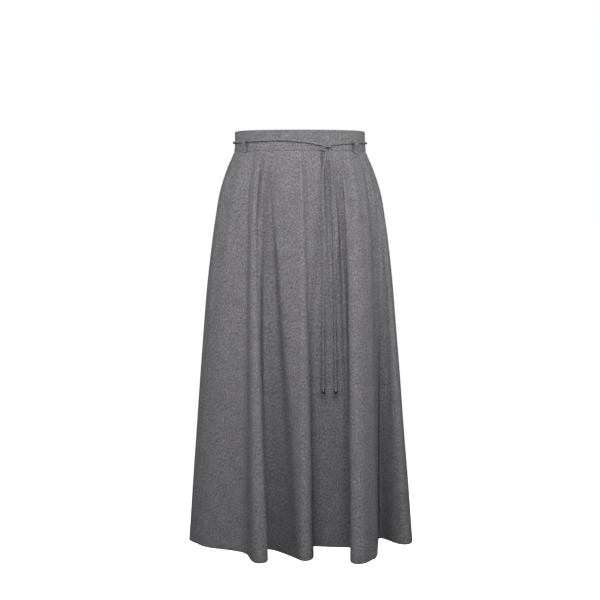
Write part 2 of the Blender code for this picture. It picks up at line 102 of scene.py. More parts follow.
# The hem's place and its reach before and after a turn are in millimetres, seen from above, and its
# heading is in degrees. Where late is over 1, a fold stays shallow until it is near the hem.
Turn = namedtuple("Turn", "name girth x y heading before after late")
TURNS = (
    Turn("left_seam", -70, -219, -17, -61, 6, 6, 1.1),
    Turn("left_panel", -58, -183, -57, -27, 9, 7, 1.1),
    Turn("left_hollow", -46, -120, -94, -44, 10, 8, 0.9),
    Turn("ridge_1", -36, -83, -187, 5, 9, 22, 1.0),
    Turn("hollow_1", -24, -68, -68, -7, 14, 11, 1.0),
    Turn("ridge_2", 0.5, 7, -169, 5, 4, 20, 1.0),
    Turn("hollow_2", 8, 34, -40, -13, 12, 6, 1.25),
    Turn("flat_2", 29, 98, -51, 3, 7, 14, 1.25),
    Turn("ridge_3", 38, 116, -195, 3, 17, 9, 1.0),
    Turn("shoulder_3", 53, 149, -156, 47, 5, 13, 1.0),
    Turn("hollow_3", 67, 173, 35, -16, 5, 4, 1.0),
    Turn("ridge_4", 80, 226, -25, 24, 11, 6, 1.1),
    Turn("right_side", 91, 240, 17, 92, 5, 8, 1.1),
    Turn("hollow_5", 105, 160, 66, 152, 16, 9, 1.1),
    Turn("ridge_5", 122, 154, 176, 168, 15, 10, 1.05),
    Turn("hollow_6", 138, 79, 74, 190, 12, 10, 1.2),
    Turn("ridge_6", 157, 52, 206, 182, 16, 12, 1.05),
    Turn("hollow_7", 177, -14, 92, 178, 12, 9, 1.2),
    Turn("ridge_7", 198, -58, 203, 186, 14, 14, 1.05),
    Turn("hollow_8", 217, -97, 70, 174, 13, 9, 1.2),
    Turn("ridge_8", 236, -160, 158, 208, 13, 12, 1.05),
    Turn("hollow_9", 252, -170, 58, 206, 12, 8, 1.15),
    Turn("left_side", 269, -239, 26, 272, 12, 6, 1.1),
)

# A small fold runs from girth top at drop start to girth low at drop end. Its width is in degrees,
# and its height in millimetres is below 0 for a trough.
Crease = namedtuple("Crease", "name top low start end width height")
CREASES = (
    Crease("seam_edge", -69.3, -69.3, 0.060, 1.70, 0.5, 1.5),
    Crease("seam_hollow", -70.9, -70.9, 0.060, 1.70, 0.8, -3.4),
    Crease("left_ridge", -53, -56, 0.050, 0.80, 4.6, 5.5),
    Crease("left_hollow", -43.4, -42.8, 0.046, 1.20, 2.6, -9.0),
    Crease("ridge_1", -35.4, -36.3, 0.046, 1.20, 1.7, 5.5),
    Crease("beside_1", -31.8, -33.2, 0.044, 1.10, 1.2, -6.5),
    Crease("second_1", -28.6, -26.6, 0.046, 0.46, 1.4, 3.4),
    Crease("hollow_1", -24.0, -8.0, 0.044, 0.96, 3.0, -9.0),
    Crease("ridge_2", 0.4, -1.2, 0.046, 1.20, 1.9, 5.0),
    Crease("beside_2", 2.8, 9.8, 0.046, 0.98, 1.2, -6.5),
    Crease("under_knot", 19.8, 19.4, 0.036, 0.42, 2.0, -7.5),
    Crease("by_knot", 24.2, 24, 0.044, 0.34, 1.6, 3.6),
    Crease("left_of_3", 27.6, 28.8, 0.044, 1.20, 1.4, -7.0),
    Crease("ridge_3", 33.4, 36.0, 0.046, 0.90, 2.0, 5.0),
    Crease("right_front", 38.2, 38.6, 0.046, 0.36, 1.6, -4.4),
    Crease("shoulder_3", 44.2, 45.0, 0.044, 0.42, 3.2, 3.6),
    Crease("beside_3", 61.8, 58.6, 0.046, 1.10, 1.8, -6.5),
    Crease("right_hip", 67.5, 65.0, 0.060, 0.52, 2.0, 3.8),
    Crease("hollow_3", 73.0, 71.0, 0.180, 1.20, 3.2, -4.6),
    Crease("beside_5", 129.5, 131.0, 0.052, 1.15, 1.8, -5.6),
    Crease("back_right", 146, 148, 0.050, 0.36, 3.0, -4.8),
    Crease("ridge_6", 156.0, 158.0, 0.056, 0.95, 2.2, 4.2),
    Crease("beside_6", 164.0, 167.0, 0.050, 1.05, 1.6, -6.0),
    Crease("back_middle", 178, 176, 0.060, 0.40, 3.0, -4.0),
    Crease("ridge_7", 196.5, 198.5, 0.054, 1.10, 2.0, 4.0),
    Crease("beside_7", 204.5, 206.0, 0.050, 1.10, 1.7, -6.4),
    Crease("back_left", 214, 211, 0.050, 0.38, 3.2, -3.8),
    Crease("ridge_8", 235.0, 236.0, 0.060, 0.70, 2.2, 3.6),
    Crease("beside_8", 242.0, 243.5, 0.050, 1.10, 1.8, -5.2),
)
print(len(TURNS), "turns of the hem and", len(CREASES), "small folds near the waist")

# %% [markdown]
# The tables have few rows and cloth needs many points, so smooth curves are read through the rows.
# Blender's own curves could do this too, but numbers in arrays are quicker to move about. The same
# curve serves for the figure, the cord and the knot.

# %% Curves through tables
DENSE = 4000


def hermite(t, start, leaving, end, arriving):
    """A smooth way from start to end as t goes from 0 to 1, with its slopes at both ends."""
    return (
        (1 + 2 * t) * (1 - t) ** 2 * start
        + t * (1 - t) ** 2 * leaving
        + t * t * (3 - 2 * t) * end
        + t * t * (t - 1) * arriving
    )


def smooth_between(at, places, values):
    """A smooth curve through the values, read at each place in at."""
    places, values = np.asarray(places, float), np.asarray(values, float)
    slopes = np.gradient(values, places)
    at = np.clip(at, places[0], places[-1])
    i = np.clip(np.searchsorted(places, at) - 1, 0, len(places) - 2)
    step = places[i + 1] - places[i]
    t = (at - places[i]) / step
    return hermite(t, values[i], step * slopes[i], values[i + 1], step * slopes[i + 1])


def lengths_along(points):
    """How far along a line of points each of them is."""
    return np.concatenate([[0], np.cumsum(np.linalg.norm(np.diff(points, axis=0), axis=1))])


def evenly_along(route, spacing):
    """Points at an even spacing along a smooth curve through a route's points."""
    route = np.asarray(route, float)
    knots = lengths_along(route)
    dense = np.linspace(0, knots[-1], DENSE)
    curve = np.stack([smooth_between(dense, knots, route[:, k]) for k in range(3)], axis=1)
    along = lengths_along(curve)
    at = np.linspace(0, along[-1], int(round(along[-1] / spacing)) + 1)
    return np.stack([np.interp(at, along, curve[:, k]) for k in range(3)], axis=1)


def figure_sides(girth, drop):
    """The figure's half-width, and its half-depth on the side that each girth angle faces."""
    drops = [row.drop for row in FIGURE]
    half_width, front, back = (
        smooth_between(drop, drops, [getattr(row, side) for row in FIGURE])
        for side in ("half_width", "front", "back")
    )
    return half_width, np.where(np.cos(np.radians(girth)) > 0, front, back)


def figure_point(girth, drop):
    """The plan point on the figure at a girth angle and a drop."""
    half_width, depth = figure_sides(girth, drop)
    turn = np.radians(girth)
    return np.stack([half_width * np.sin(turn), -depth * np.cos(turn)], axis=-1)


def figure_out(girth, drop):
    """The outward direction in plan there."""
    half_width, depth = figure_sides(girth, drop)
    turn = np.radians(girth)
    out = np.stack([np.sin(turn) / half_width, -np.cos(turn) / depth], axis=-1)
    return out / np.linalg.norm(out, axis=-1, keepdims=True)


around = figure_point(np.arange(361.0), 0.0)
print("waist:", round(float(lengths_along(around)[-1]), 3), "m round")

# %% [markdown]
# Seen from above, the hem is one closed line that goes in and out round the figure. From turn to
# turn it is a curve that leaves and arrives with the heading and the reach of its two rows. A short
# blur along the line takes off what is left of any corner, because thick wool doesn't bend sharply.

# %% The hem's line
RIM_POINTS = 2400
RIM_SOFTNESS = 0.004
GIRTH_SOFTNESS = 0.020
TURN_STEPS = 64
# A curve from turn to turn swings out by this share of its slope at an end.
SWING = 0.148


def soften_ring(values, spacing, width):
    """The values round a closed ring, blurred over a width along it."""
    reach = int(3 * width / spacing) + 1
    weights = np.exp(-0.5 * (np.arange(-reach, reach + 1) * spacing / width) ** 2)
    weights /= weights.sum()
    ahead = np.concatenate([values[-reach:], values, values[:reach]])
    if values.ndim == 1:
        return np.convolve(ahead, weights, mode="valid")
    return np.stack([np.convolve(column, weights, mode="valid") for column in ahead.T], axis=1)


def hem_ring():
    """The hem in plan, with each point's girth angle and lateness, evenly spaced along it."""
    steps = np.linspace(0, 1, TURN_STEPS, endpoint=False)
    points, girths, lates = [], [], []
    for this, after in zip(TURNS, TURNS[1:] + TURNS[:1]):
        ends = np.array([[this.x, this.y], [after.x, after.y]]) / 1000
        aims = [
            np.array([math.cos(math.radians(turn.heading)), math.sin(math.radians(turn.heading))])
            * reach / 1000 / SWING
            for turn, reach in ((this, this.after), (after, after.before))
        ]
        points.append(hermite(steps[:, None], ends[0], aims[0], ends[1], aims[1]))
        far = after.girth if after.girth > this.girth else after.girth + 360
        girths.append(this.girth + steps * (far - this.girth))
        lates.append(this.late + steps * (after.late - this.late))
    points = np.concatenate(points)
    closed = np.concatenate([points, points[:1]])
    along = lengths_along(closed)
    at = np.linspace(0, along[-1], RIM_POINTS, endpoint=False)
    spacing = along[-1] / RIM_POINTS
    ring = np.stack([np.interp(at, along, closed[:, k]) for k in (0, 1)], axis=1)
    girth = np.interp(at, along, np.append(np.concatenate(girths), TURNS[0].girth + 360))
    drift = girth - np.linspace(girth[0], girth[0] + 360, RIM_POINTS, endpoint=False)
    late = np.interp(at, along, np.append(np.concatenate(lates), TURNS[0].late))
    return {
        "points": soften_ring(ring, spacing, RIM_SOFTNESS),
        "girth": girth - drift + soften_ring(drift, spacing, GIRTH_SOFTNESS),
        "late": soften_ring(late, spacing, GIRTH_SOFTNESS),
        "length": along[-1],
    }


HEM = hem_ring()
print("hem:", round(HEM["length"], 3), "m round")

# %% [markdown]
# Real cloth is never as even as a formula, so two things are laid over the big folds: the small
# folds of the second table, which start under the waistband and fade out at the hips or lower, and
# a ripple of less than a millimetre with nothing regular to be seen in it. Both push the cloth out
# or in. A sculpted mesh would look much the same, but its folds couldn't be moved by a number.

# %% The cloth at any height
Ripple = namedtuple("Ripple", "waves slant start height")
RIPPLES = (
    Ripple(5, 7, 0.4, 0.30),
    Ripple(9, -10, 2.1, 0.26),
    Ripple(14, 15, 4.4, 0.20),
    Ripple(23, -21, 1.2, 0.13),
    Ripple(37, 29, 5.3, 0.08),
)
RIPPLE_GROWS = 0.12
# Under 1, a small fold is deepest nearer to its top, and over 1 its two ends fade softly.
CREASE_EARLY = 0.42
CREASE_FADE = 1.5


def crease_height(girth, drop):
    """How far the small folds stand out of the cloth, in metres."""
    total = np.zeros_like(girth)
    for row in CREASES:
        if not row.start < drop < row.end:
            continue
        t = (drop - row.start) / (row.end - row.start)
        middle = row.top + t * (row.low - row.top)
        away = (girth - middle + 180) % 360 - 180
        strength = math.sin(math.pi * t**CREASE_EARLY) ** CREASE_FADE
        total += row.height / 1000 * strength * np.exp(-((away / row.width) ** 2))
    return total


def ripple_height(table, girth, drop):
    """A faint unevenness of the cloth, in metres."""
    turn = np.radians(girth)
    return sum(row.height * np.sin(row.waves * turn + row.slant * drop + row.start)
               for row in table) / 1000


def plan_out(ring):
    """Outward unit normals in plan of a closed ring."""
    along = np.roll(ring, -1, axis=0) - np.roll(ring, 1, axis=0)
    out = np.stack([along[:, 1], -along[:, 0]], axis=1)
    return out / np.linalg.norm(out, axis=1, keepdims=True)


def cloth_ring(drop):
    """The outside of the cloth in plan all round the skirt at a drop."""
    if drop <= SKIRT_TOP:
        return figure_point(HEM["girth"], drop)
    share = (drop - SKIRT_TOP) / (SKIRT_LENGTH - SKIRT_TOP)
    pull = HEM["points"] - figure_point(HEM["girth"], SKIRT_LENGTH)
    ring = figure_point(HEM["girth"], drop) + share ** HEM["late"][:, None] * pull
    grown = min(1.0, (drop - SKIRT_TOP) / RIPPLE_GROWS)
    height = crease_height(HEM["girth"], drop) + ripple_height(RIPPLES, HEM["girth"], drop) * grown
    return ring + plan_out(ring) * height[:, None]


def ring_at(ring, places):
    """A ring's points at fractional places along it."""
    low = np.floor(places).astype(int)
    share = (places - low)[:, None]
    return ring[low % len(ring)] * (1 - share) + ring[(low + 1) % len(ring)] * share


def ring_place(girth):
    """The place along the hem's ring where a girth angle falls."""
    start = HEM["girth"][0]
    girths = np.append(HEM["girth"], start + 360)
    return float(np.interp((girth - start) % 360 + start, girths, np.arange(RIM_POINTS + 1)))


def on_garment(girth, drop):
    """A point on the outside of the band or the skirt, and the outward direction there."""
    if drop <= SKIRT_TOP:
        point = figure_point(girth, drop)
    else:
        point = ring_at(cloth_ring(drop), np.array([ring_place(girth)]))[0]
    return np.append(point, TOP_Z - drop), np.append(figure_out(girth, drop), 0.0)


for drop in (0.1, 0.4, 0.7):
    around = lengths_along(cloth_ring(drop))[-1]
    print("the cloth is", round(float(around), 2), "m round at", drop, "m down")

# %% [markdown]
# A sheet of cloth starts as Blender's grid, which already has the right rows, columns and faces.
# Its points are then laid where the cloth lies, and Solidify gives it thickness to both sides.
# Working from a grid keeps the faces square and even, which shading likes. The grid's UV map is
# rewritten in metres of cloth, so a weave follows the cut and not the room.

# %% Helpers for sheets
CLOTH = 0.0010
# What should lie just inside another surface is this much smaller.
INSIDE = 0.00005
SURFACE = CLOTH / 2 + INSIDE


def pick(piece):
    """Selects one object alone."""
    bpy.ops.object.select_all(action="DESELECT")
    piece.select_set(True)
    bpy.context.view_layer.objects.active = piece


def grid_sheet(name, points, flat):
    """A grid draped to points (row, column, xyz) with a UV map from flat (row, column, uv)."""
    rows, columns = points.shape[:2]
    bpy.ops.object.select_all(action="DESELECT")
    bpy.ops.mesh.primitive_grid_add(x_subdivisions=columns - 1, y_subdivisions=rows - 1, size=1)
    piece = bpy.context.object
    piece.name = piece.data.name = name
    place = np.empty(len(piece.data.vertices) * 3)
    piece.data.vertices.foreach_get("co", place)
    place = place.reshape(-1, 3)
    column = np.rint((place[:, 0] + 0.5) * (columns - 1)).astype(int)
    row = np.rint((0.5 - place[:, 1]) * (rows - 1)).astype(int)
    piece.data.vertices.foreach_set("co", points[row, column].ravel())
    corners = np.empty(len(piece.data.loops), int)
    piece.data.loops.foreach_get("vertex_index", corners)
    piece.data.uv_layers[0].data.foreach_set("uv", flat[row, column][corners].ravel())
    piece.data.update()
    return piece


def apply(piece, kind, **values):
    """Adds one modifier, sets it and applies it, as by hand."""
    pick(piece)
    modifier = piece.modifiers.new(kind.title(), kind)
    for key, value in values.items():
        setattr(modifier, key, value)
    bpy.ops.object.modifier_apply(modifier=modifier.name)


def smooth(piece, degrees=50):
    """Shades a piece smooth, but not over edges that turn by more than the angle."""
    pick(piece)
    bpy.ops.object.shade_smooth_by_angle(angle=math.radians(degrees))


def steps_along(points, axis):
    """Distances along one axis of a grid of points, from 0 at its start."""
    gaps = np.linalg.norm(np.diff(points, axis=axis), axis=2)
    start = np.zeros_like(gaps[:1] if axis == 0 else gaps[:, :1])
    return np.concatenate([start, np.cumsum(gaps, axis=axis)], axis=axis)


def laid_out(points):
    """A UV map in metres: across from the middle column, and down the middle column."""
    across = steps_along(points, 1)
    across -= across[:, points.shape[1] // 2][:, None]
    down = steps_along(points, 0)[:, points.shape[1] // 2]
    return np.stack([across, np.broadcast_to(-down[:, None], across.shape)], axis=2)


def cloth_area(points):
    """The area of a grid of points, in square metres."""
    one = np.cross(points[1:, 1:] - points[:-1, :-1], points[1:, :-1] - points[:-1, 1:])
    return float(np.linalg.norm(one, axis=2).sum() / 2)


def sew_on(piece, material, node):
    """Gives a finished piece its material, hangs it on the skirt and hides the solid it stands for.
    """
    piece.data.materials.clear()
    piece.data.materials.append(material)
    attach(piece, "skirt")
    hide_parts(node)
    count = sum(len(face.vertices) - 2 for face in piece.data.polygons)
    print(piece.name, count, "triangles")
    return piece


print("sheets are", CLOTH * 1000, "mm thick")

# %% [markdown]
# A cord is the same grid rolled up. Its rows follow the cord's middle line, its columns go round,
# and the two long edges are merged where they meet. A direction to the side is carried along the
# line from point to point, so the roll never twists.

# %% Tubes
SIDES = 20
MERGE = 0.00001
# Any direction that no cord starts in.
ASIDE = (0.3, 0.2, 0.93)


def tube(name, middle, radius):
    """A round tube of cloth along middle; its first and last rows shrink to a point."""
    ahead = np.gradient(middle, axis=0)
    ahead /= np.linalg.norm(ahead, axis=1, keepdims=True)
    side = np.cross(ahead[0], ASIDE)
    sides = []
    for direction in ahead:
        side = side - direction * np.dot(side, direction)
        side /= np.linalg.norm(side)
        sides.append(side)
    sides = np.array(sides)
    others = np.cross(ahead, sides)
    turn = -np.linspace(0, 2 * math.pi, SIDES + 1)[None, :, None]
    radius = np.broadcast_to(np.asarray(radius, float), (len(middle),))
    ring = sides[:, None] * np.cos(turn) + others[:, None] * np.sin(turn)
    points = middle[:, None] + ring * radius[:, None, None]
    points = np.concatenate([points[:1] * 0 + middle[0], points, points[:1] * 0 + middle[-1]])
    along = lengths_along(middle)
    across = np.linspace(0, 2 * math.pi * radius.mean(), SIDES + 1)
    along = np.concatenate([[-radius[0]], along, [along[-1] + radius[-1]]])
    flat = np.stack(np.broadcast_arrays(across[None, :], -along[:, None]), axis=2)
    piece = grid_sheet(name, points, flat)
    bpy.ops.object.mode_set(mode="EDIT")
    bpy.ops.mesh.select_all(action="SELECT")
    bpy.ops.mesh.remove_doubles(threshold=MERGE)
    bpy.ops.object.mode_set(mode="OBJECT")
    smooth(piece)
    return piece


print("tubes have", SIDES, "sides")

# %% [markdown]
# Wool flannel is woven from yarns spun of dark and light fibres, then brushed until the fibres
# stand up and half hide the twill. From a step away it is a soft grey with light and dark flecks.
# One material does for every cloth piece. It mixes a fine fleck, a wider mottle, a slow change from
# warm to cool and the slanted twill line, all in metres of cloth through the UV map, and the same
# values raise a low nap. A little sheen makes the cloth paler where it turns away, as nap does.

# %% Node helpers


def node(tree, kind, settings=None, **inputs):
    """One shader node, with settings on it and a value or a link for each named input."""
    made = tree.nodes.new(kind)
    for key, value in (settings or {}).items():
        setattr(made, key, value)
    for key, value in inputs.items():
        name = int(key[1:]) if key[1:].isdigit() else key.replace("_", " ")
        if isinstance(value, bpy.types.NodeSocket):
            tree.links.new(value, made.inputs[name])
        else:
            made.inputs[name].default_value = value
    return made


def math_node(tree, operation, first, second):
    """The output of a node that adds, subtracts or multiplies two values."""
    return node(tree, "ShaderNodeMath", {"operation": operation}, _0=first, _1=second).outputs[0]


def flecks(tree, place, size, detail=2.0, stretch=(1.0, 1.0, 1.0), turn=0.0):
    """A noise from about -0.5 to 0.5, whose spots are about size metres across."""
    mapped = node(tree, "ShaderNodeMapping", Vector=place, Rotation=(0, 0, math.radians(turn)),
                  Scale=stretch)
    noise = node(tree, "ShaderNodeTexNoise", Vector=mapped.outputs[0], Scale=1 / size,
                 Detail=detail, Roughness=0.6)
    return math_node(tree, "SUBTRACT", noise.outputs[0], 0.5)


def new_material(name, **inputs):
    """A material with an empty node tree, its Principled shader set up, and its output."""
    made = bpy.data.materials.new(name)
    made.use_nodes = True
    tree = made.node_tree
    tree.nodes.clear()
    shader = node(tree, "ShaderNodeBsdfPrincipled", **inputs)
    node(tree, "ShaderNodeOutputMaterial", Surface=shader.outputs[0])
    return made, tree, shader


print("node helpers ready")

# %% Wool flannel
FLECK = 0.0017
MOTTLE = 0.0040
CLOUD = 0.030
TINT = 0.011
TWILL = 0.0009
TWILL_SLANT = 58
NAP = 0.0006
# At scale 1 a wave texture has one band in this many metres.
WAVE = 0.314
DARK_FIBRE = (0.046, 0.044, 0.049, 1)
GREY = (0.156, 0.152, 0.160, 1)
PALE_FIBRE = (0.345, 0.338, 0.345, 1)
WARM = (1.03, 1.0, 0.975, 1)
COOL = (0.975, 1.0, 1.035, 1)


def wool_flannel():
    """Grey melange wool flannel with a brushed twill."""
    made, tree, shader = new_material(
        "wool_flannel", Sheen_Weight=0.05, Sheen_Roughness=0.50, Sheen_Tint=(0.95, 0.95, 1.0, 1),
        Specular_IOR_Level=0.25)
    cloth = node(tree, "ShaderNodeTexCoord").outputs["UV"]
    fleck = flecks(tree, cloth, FLECK, 3.0, (1.0, 0.55, 1.0), 20)
    mottle = flecks(tree, cloth, MOTTLE, 3.0, (1.0, 0.7, 1.0), -15)
    cloud = flecks(tree, cloth, CLOUD, 2.0)
    slanted = node(tree, "ShaderNodeMapping", Vector=cloth,
                   Rotation=(0, 0, math.radians(TWILL_SLANT)))
    twill = node(tree, "ShaderNodeTexWave", {"bands_direction": "X"}, Vector=slanted.outputs[0],
                 Scale=WAVE / TWILL, Distortion=1.2, Detail=2.0, Detail_Scale=1.5)
    twill = math_node(tree, "SUBTRACT", twill.outputs[1], 0.5)
    tone = 0.5
    for value, share in ((fleck, 1.5), (mottle, 0.95), (cloud, 0.26), (twill, 0.22)):
        tone = math_node(tree, "ADD", tone, math_node(tree, "MULTIPLY", value, share))
    ramp = node(tree, "ShaderNodeValToRGB", Fac=tone)
    stops = ramp.color_ramp.elements
    stops[0].color = DARK_FIBRE
    stops[1].color = PALE_FIBRE
    stops.new(0.5).color = GREY
    tint = flecks(tree, cloth, TINT, 2.0)
    tint = math_node(tree, "ADD", math_node(tree, "MULTIPLY", tint, 1.6), 0.5)
    warmth = node(tree, "ShaderNodeMix", {"data_type": "RGBA"}, _0=tint, _6=WARM, _7=COOL)
    color = node(tree, "ShaderNodeMix", {"data_type": "RGBA", "blend_type": "MULTIPLY"},
                 _0=1.0, _6=ramp.outputs["Color"], _7=warmth.outputs[2])
    tree.links.new(color.outputs[2], shader.inputs["Base Color"])
    height = math_node(tree, "ADD", fleck, math_node(tree, "MULTIPLY", twill, 0.5))
    height = math_node(tree, "ADD", height, math_node(tree, "MULTIPLY", mottle, 0.8))
    bump = node(tree, "ShaderNodeBump", Height=height, Strength=0.55, Distance=NAP)
    tree.links.new(bump.outputs[0], shader.inputs["Normal"])
    rough = math_node(tree, "ADD", math_node(tree, "MULTIPLY", fleck, 0.12), 0.93)
    tree.links.new(rough, shader.inputs["Roughness"])
    return made


WOOL = wool_flannel()
print(len(WOOL.node_tree.nodes), "nodes in the flannel")

# %% [markdown]
# The cord's ends are dark polished nickel, and the zip's slider is the same metal. Polished metal
# shows its shape only by what it mirrors, so the colour is even, and faint turning lines, smudges
# and a slightly varied roughness keep it from looking like plain mercury.

# %% Polished metal
SMUDGE = 0.0016
TURNING_LINE = 0.0010
LINE_DEPTH = 0.00008
DARK_NICKEL = (0.11, 0.105, 0.10, 1)
PALE_NICKEL = (0.20, 0.195, 0.19, 1)


def polished_metal():
    """Dark nickel with faint smudges and turning lines."""
    made, tree, shader = new_material("dark_nickel", Metallic=1.0)
    place = node(tree, "ShaderNodeTexCoord").outputs["Object"]
    smudge = flecks(tree, place, SMUDGE, 3.0)
    lines = flecks(tree, place, TURNING_LINE, 2.0, (0.4, 0.4, 8.0))
    rough = math_node(tree, "ADD", math_node(tree, "MULTIPLY", smudge, 0.08), 0.17)
    tree.links.new(rough, shader.inputs["Roughness"])
    tone = math_node(tree, "ADD", math_node(tree, "MULTIPLY", smudge, 0.5), 0.5)
    color = node(tree, "ShaderNodeMix", {"data_type": "RGBA"}, _0=tone, _6=DARK_NICKEL,
                 _7=PALE_NICKEL)
    tree.links.new(color.outputs[2], shader.inputs["Base Color"])
    bump = node(tree, "ShaderNodeBump", Height=lines, Strength=0.10, Distance=LINE_DEPTH)
    tree.links.new(bump.outputs[0], shader.inputs["Normal"])
    return made


METAL = polished_metal()
print("two finishes: flannel and nickel")

# %% [markdown]
# The tie is a thin cord of the same cloth: a strip sewn into a tube and turned right side out. It
# goes once round the waist through the loops. Its middle line is a list of places on the band, and
# a tube is rolled round that line. A bevelled curve would do the same, but the mesh tube has a UV
# map, so the weave runs along the cord. Hand-turned cord is a little uneven, so its radius is too.

# %% The cord round the waist
CORD = 0.0045
CLEARANCE = 0.0007
CORD_OFF = CORD / 2 + CLEARANCE
PRESSED = 0.0006
CORD_STEP = 0.0025
# Girth angles and drops, from the knot by the viewer's left and the back to the knot again.
TIE_ROUTE = (
    (18.6, 0.0308), (13, 0.0282), (7, 0.0260), (0, 0.0240), (-8, 0.0220), (-16, 0.0210),
    (-27, 0.0211), (-38, 0.0219), (-48, 0.0226), (-58, 0.0231), (-75, 0.0232), (-90, 0.0236),
    (-112, 0.0240), (-135, 0.0238), (-160, 0.0243), (-190, 0.0243), (-217, 0.0238),
    (-235, 0.0244), (-250, 0.0250), (-275, 0.0246), (-301.5, 0.0250), (-312, 0.0264),
    (-321, 0.0279), (-332.4, 0.0302),
)


def tie_route():
    """The cord's middle round the waist, lying on the band."""
    girths = np.linspace(TIE_ROUTE[0][0], TIE_ROUTE[-1][0], 361)
    drops = smooth_between(-girths, [-row[0] for row in TIE_ROUTE], [row[1] for row in TIE_ROUTE])
    plan = [figure_point(girth, drop) + figure_out(girth, drop) * (CORD_OFF - PRESSED)
            for girth, drop in zip(girths, drops)]
    return np.column_stack([plan, TOP_Z - drops])


def cord_radius(middle):
    """The cord's radius at each point, a little uneven as a turned strip is."""
    s = np.arange(len(middle)) * 1.0
    return CORD / 2 * (1 + 0.030 * np.sin(s * 0.41) + 0.022 * np.sin(s * 1.07 + 2))


waist_line = evenly_along(tie_route(), CORD_STEP)
cord_round = tube("cord_round", waist_line, cord_radius(waist_line))
sew_on(cord_round, WOOL, "tie_round")
print("cord round the waist:", round(float(lengths_along(waist_line)[-1]), 4), "m")

# %% [markdown]
# The tails hang from the knot by their own weight. Each touches the cloth where a fold comes
# forward, and hangs clear of it below, where the cloth draws back. So only its place across the
# skirt is listed, and how far forward it hangs is found from the cloth itself.

# %% The cord's two tails
TAIL_ROWS = 60
TAIL_END = 0.5260
# Drops, and places to the right of the middle, in metres.
TAIL_LEFT = (
    (0.0417, 0.0537), (0.0500, 0.0527), (0.0612, 0.0503), (0.0814, 0.0470), (0.130, 0.0463),
    (0.263, 0.0464), (0.400, 0.0468), (TAIL_END, 0.0474),
)
TAIL_RIGHT = (
    (0.0417, 0.0602), (0.0500, 0.0605), (0.0612, 0.0613), (0.0814, 0.0640), (0.130, 0.0660),
    (0.263, 0.0688), (0.400, 0.0712), (TAIL_END, 0.0733),
)


def cloth_front(x, drop):
    """How far forward (the least y) the front of the garment is at an x and a drop."""
    if drop <= BAND_HEIGHT:
        ring = figure_point(np.linspace(-90, 90, 721), drop)
    else:
        ring = cloth_ring(drop)
    near = ring[(np.abs(ring[:, 0] - x) < CORD_OFF) & (ring[:, 1] < 0.02)]
    return near[:, 1].min()


def tail_route(table):
    """A tail that lies on the cloth and hangs straight down where the cloth draws back."""
    drops = np.linspace(table[0][0], TAIL_END, TAIL_ROWS)
    across = smooth_between(drops, [row[0] for row in table], [row[1] for row in table])
    ys = [cloth_front(x, drop) - CORD_OFF for x, drop in zip(across, drops)]
    ys = np.minimum.accumulate(ys)
    ys = np.minimum(ys, np.convolve(np.pad(ys, 4, mode="edge"), np.ones(9) / 9, mode="valid"))
    return np.column_stack([across, ys, TOP_Z - drops])


TAILS = {}
for side, table in (("left", TAIL_LEFT), ("right", TAIL_RIGHT)):
    middle = evenly_along(tail_route(table), CORD_STEP)
    TAILS[side] = middle
    tail = tube("cord_tail_" + side, middle, cord_radius(middle))
    sew_on(tail, WOOL, "tie_tail_" + side)
    print("tail:", round(float(lengths_along(middle)[-1]), 4), "m")

# %% [markdown]
# The knot is a plain half knot. The left side of the cord comes over in front and hooks down into
# the right tail. The right side goes behind it, shows again as a small bight at the left, and turns
# back down into the left tail. Each strand is a short route of points, measured from the knot's
# place on the band: to the right, up, and out of the cloth, in millimetres.

# %% The knot
KNOT_GIRTH = 22.9
KNOT_DROP = 0.0358
KNOT_CORD = 0.00200
KNOT_STEP = 0.0007
OVER = ((-6.4, 3.5, 0.7), (-3.0, 2.2, 2.6), (1.5, 1.3, 3.9), (5.6, 1.1, 3.7), (8.6, 0.6, 2.2),
        (9.4, -1.4, 0.5), (8.0, -3.6, 0.1))
UNDER = ((7.0, 4.3, 0.0), (3.4, 2.4, 0.0), (-0.4, 0.6, 0.0), (-4.4, -0.2, 0.2),
         (-8.2, -0.8, 0.6), (-10.3, -3.2, 0.8), (-8.2, -5.6, 0.8), (-4.4, -5.3, 0.8),
         (-1.4, -4.5, 0.4))


def knot_place(right, up, out):
    """A point of the knot from its distances to the right, up and out, in millimetres."""
    point, outward = on_garment(KNOT_GIRTH, KNOT_DROP)
    side = np.array([-outward[1], outward[0], 0.0])
    return (point + side * right / 1000 + np.array([0, 0, up / 1000])
            + outward * (CORD_OFF + out / 1000))


def strand(name, start, before, turns, end, after):
    """One strand of the knot, from inside the cord's end to inside the tail's start."""
    route = [before, start] + [knot_place(*turn) for turn in turns] + [end, after]
    middle = evenly_along(route, KNOT_STEP)
    share = np.linspace(0, 1, len(middle))
    slack = np.maximum(np.clip(1 - share / 0.2, 0, 1), np.clip((share - 0.85) / 0.15, 0, 1))
    return tube(name, middle, KNOT_CORD + (CORD / 2 - INSIDE - KNOT_CORD) * slack)


over = strand("cord_knot", waist_line[0], waist_line[1], OVER, TAILS["right"][0],
              TAILS["right"][1])
under = strand("knot_under", waist_line[-1], waist_line[-2], UNDER, TAILS["left"][0],
               TAILS["left"][1])
pick(over)
under.select_set(True)
bpy.ops.object.join()
cord_knot = sew_on(over, WOOL, "tie_knot")

# %% [markdown]
# Each tail ends in a small turned metal cap, a little wider at its mouth. On a lathe it would be
# one profile, and here it is too: a circle is extruded and scaled down that profile, goes round
# the lip and back up inside, so that the mouth is really hollow.

# %% The metal ends
# Distances down from the end of the cord, and radii.
TIP_PROFILE = (
    (-0.0004, 0.00236), (0.0, 0.00248), (0.0006, 0.00260), (0.0020, 0.00288), (0.0036, 0.00320),
    (0.0052, 0.00351), (0.0068, 0.00380), (0.0084, 0.00392), (0.0094, 0.00388), (0.0098, 0.00370),
    (0.0097, 0.00345), (0.0088, 0.00325), (0.0070, 0.00300),
)


